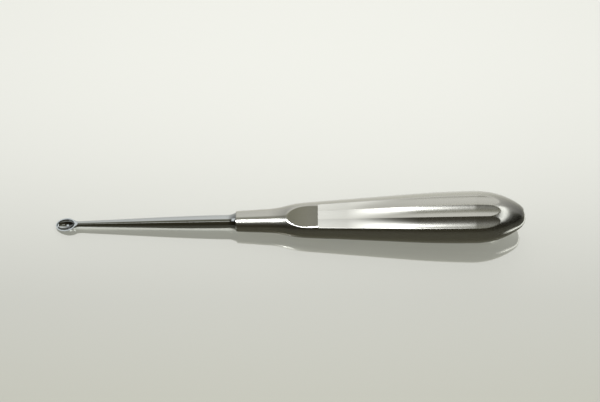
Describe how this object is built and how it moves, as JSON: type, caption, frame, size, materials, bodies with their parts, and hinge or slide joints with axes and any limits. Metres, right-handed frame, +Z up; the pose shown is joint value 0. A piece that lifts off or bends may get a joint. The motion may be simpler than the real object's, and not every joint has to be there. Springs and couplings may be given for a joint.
{
  "type": "bone curette",
  "caption": "Surgical bone curette: a small sharp spoon-shaped cup on a slim polished shaft, with a stout fluted handle and a thumb rest.",
  "frame": {"origin": "middle of the tool's box in plan, on the surface that it lies on", "axes": "+X from the cup towards the tail of the handle, +Z up from the surface, with the thumb rest and the mouth of the cup facing up and leaning a little towards -Y"},
  "size_m": [0.1695, 0.0188, 0.0191],
  "materials": {
    "polished_steel": "polished stainless steel",
    "satin_steel": "satin matt stainless steel"
  },
  "bodies": {
    "root": {"shaft": "polished_steel", "handle": "satin_steel"}
  },
  "joints": []
}
